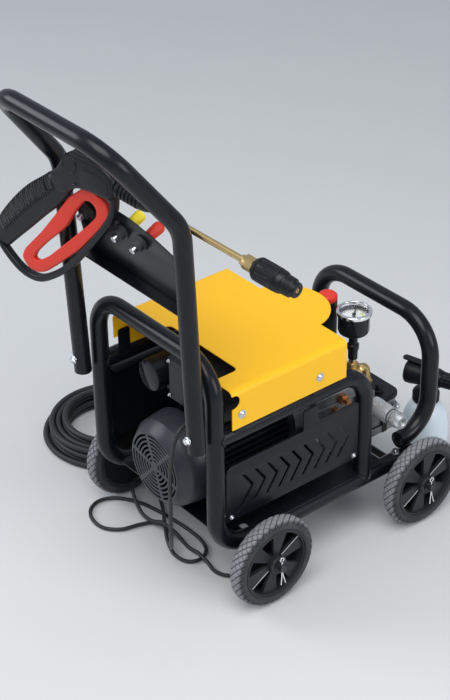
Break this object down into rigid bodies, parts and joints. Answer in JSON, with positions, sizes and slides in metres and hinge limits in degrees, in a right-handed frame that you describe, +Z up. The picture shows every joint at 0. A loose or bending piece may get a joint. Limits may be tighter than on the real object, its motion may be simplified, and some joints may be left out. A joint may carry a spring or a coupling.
{
  "type": "pressure washer",
  "caption": "Electric high-pressure washer on a four-wheeled tubular cart with push handle, yellow hood, plunger pump, trigger gun with lance, spray nozzles and foam cannon.",
  "frame": {"origin": "on the floor, under the centre of the box around the cart, gun and foam cannon (cords left out)", "axes": "+X forward, from the push handle to the bumper; +Y to the left; +Z up"},
  "size_m": [0.949, 1.0153, 1.0859],
  "materials": {
    "paint_black": "gloss",
    "paint_yellow": "gloss",
    "paint_grey": "satin",
    "plastic_black": "satin",
    "plastic_red": "satin",
    "plastic_yellow": "satin",
    "rubber_black": "matte",
    "tyre_black": "matte",
    "cast_aluminium": "cast",
    "brass": "satin",
    "steel": "plain",
    "chrome": "polished",
    "clear_plastic": "clear",
    "bottle_plastic": "translucent"
  },
  "bodies": {
    "cart": {"frame": "paint_black", "bumper": "paint_black", "handle": "paint_black", "nozzle_panel": "paint_black", "hood": "paint_yellow", "side_panel_right": "paint_black", "side_panel_left": "paint_black", "base_plate": "paint_black", "axle_rear": "steel", "axle_front": "steel", "cotter_rear_right": "chrome", "cotter_rear_left": "chrome", "cotter_front_right": "chrome", "cotter_front_left": "chrome", "motor": "paint_grey", "fan_cover": "paint_grey", "control_box": "plastic_black", "capacitor_box": "plastic_black", "pump_flange": "cast_aluminium", "pump_head": "cast_aluminium", "pump_cover": "plastic_black", "valve_block": "brass", "inlet_elbow": "brass", "regulator_body": "plastic_black", "gauge_case": "plastic_black", "gauge_bezel": "chrome", "inlet_filter": "clear_plastic", "gun_body": "plastic_black", "gun_sleeve": "plastic_black", "lance_tube": "brass", "gun_inlet": "brass", "foam_bottle": "bottle_plastic", "foam_head": "plastic_black", "cable_gland": "plastic_black", "mains_lead": "rubber_black", "mains_coil": "rubber_black", "mains_plug": "plastic_black", "hose_swivel": "brass", "hose_tube": "rubber_black", "hose_coil": "rubber_black", "hose_fitting": "brass"},
    "wheel_rear_right": {"tyre_rear_right": "tyre_black", "rim_rear_right": "plastic_black"},
    "wheel_rear_left": {"tyre_rear_left": "tyre_black", "rim_rear_left": "plastic_black"},
    "wheel_front_right": {"tyre_front_right": "tyre_black", "rim_front_right": "plastic_black"},
    "wheel_front_left": {"tyre_front_left": "tyre_black", "rim_front_left": "plastic_black"},
    "fan": {"fan": "plastic_black"},
    "trigger": {"gun_trigger": "plastic_red"},
    "lance_head": {"lance_head": "plastic_black"},
    "regulator_knob": {"regulator_knob": "plastic_red"},
    "gauge_needle": {"gauge_needle": "plastic_black"},
    "rocker_switch": {"rocker_switch": "plastic_red"},
    "nozzle_white": {"spray_nozzle_white": "chrome"},
    "nozzle_yellow": {"spray_nozzle_yellow": "plastic_yellow"},
    "nozzle_red": {"spray_nozzle_red": "plastic_red"},
    "oil_cap": {"oil_cap": "plastic_black"},
    "foam_fan_nozzle": {"foam_fan_nozzle": "plastic_black"}
  },
  "joints": [
    {"name": "rear_right_wheel_spin", "type": "hinge", "parent": "cart", "child": "wheel_rear_right", "pos_m": [-0.15754, -0.21502, 0.1], "axis": [0, 1, 0], "continuous": true},
    {"name": "rear_left_wheel_spin", "type": "hinge", "parent": "cart", "child": "wheel_rear_left", "pos_m": [-0.15754, 0.27498, 0.1], "axis": [0, 1, 0], "continuous": true},
    {"name": "front_right_wheel_spin", "type": "hinge", "parent": "cart", "child": "wheel_front_right", "pos_m": [0.25846, -0.21502, 0.1], "axis": [0, 1, 0], "continuous": true},
    {"name": "front_left_wheel_spin", "type": "hinge", "parent": "cart", "child": "wheel_front_left", "pos_m": [0.25846, 0.27498, 0.1], "axis": [0, 1, 0], "continuous": true},
    {"name": "fan_spin", "type": "hinge", "parent": "cart", "child": "fan", "pos_m": [-0.24154, -0.00402, 0.272], "axis": [1, 0, 0], "continuous": true},
    {"name": "trigger_pull", "type": "hinge", "parent": "cart", "child": "trigger", "pos_m": [-0.33361, 0.09064, 0.88272], "axis": [0.9851, 0.172, 0], "range_deg": [0, 3.2], "stiffness_Nm_per_rad": 2},
    {"name": "lance_head_twist", "type": "hinge", "parent": "cart", "child": "lance_head", "pos_m": [-0.25821, -0.34118, 0.84454], "axis": [0.1703, -0.9755, -0.1392], "range_deg": [0, 90]},
    {"name": "regulator_turn", "type": "hinge", "parent": "cart", "child": "regulator_knob", "pos_m": [0.17646, -0.00002, 0.489], "axis": [0, 0, 1], "range_deg": [-180, 180]},
    {"name": "needle_swing", "type": "hinge", "parent": "cart", "child": "gauge_needle", "pos_m": [0.18246, -0.07402, 0.478], "axis": [0, 0, 1], "range_deg": [-240, 0], "stiffness_Nm_per_rad": 0.002},
    {"name": "switch_rock", "type": "hinge", "parent": "cart", "child": "rocker_switch", "pos_m": [-0.20954, -0.06502, 0.442], "axis": [0, 1, 0], "range_deg": [0, 12]},
    {"name": "nozzle_white_pull", "type": "slide", "parent": "cart", "child": "nozzle_white", "axis": [0.9135, 0, 0.4067], "range_m": [0, 0.06]},
    {"name": "nozzle_yellow_pull", "type": "slide", "parent": "cart", "child": "nozzle_yellow", "axis": [0.9135, 0, 0.4067], "range_m": [0, 0.06]},
    {"name": "nozzle_red_pull", "type": "slide", "parent": "cart", "child": "nozzle_red", "axis": [0.9135, 0, 0.4067], "range_m": [0, 0.06]},
    {"name": "oil_cap_turn", "type": "hinge", "parent": "cart", "child": "oil_cap", "pos_m": [0.27346, -0.06202, 0.252], "axis": [0, 0, 1], "range_deg": [0, 90]},
    {"name": "fan_nozzle_twist", "type": "hinge", "parent": "cart", "child": "foam_fan_nozzle", "pos_m": [0.44205, -0.11452, 0.222], "axis": [0.3796, -0.9252, 0], "range_deg": [0, 90]}
  ]
}
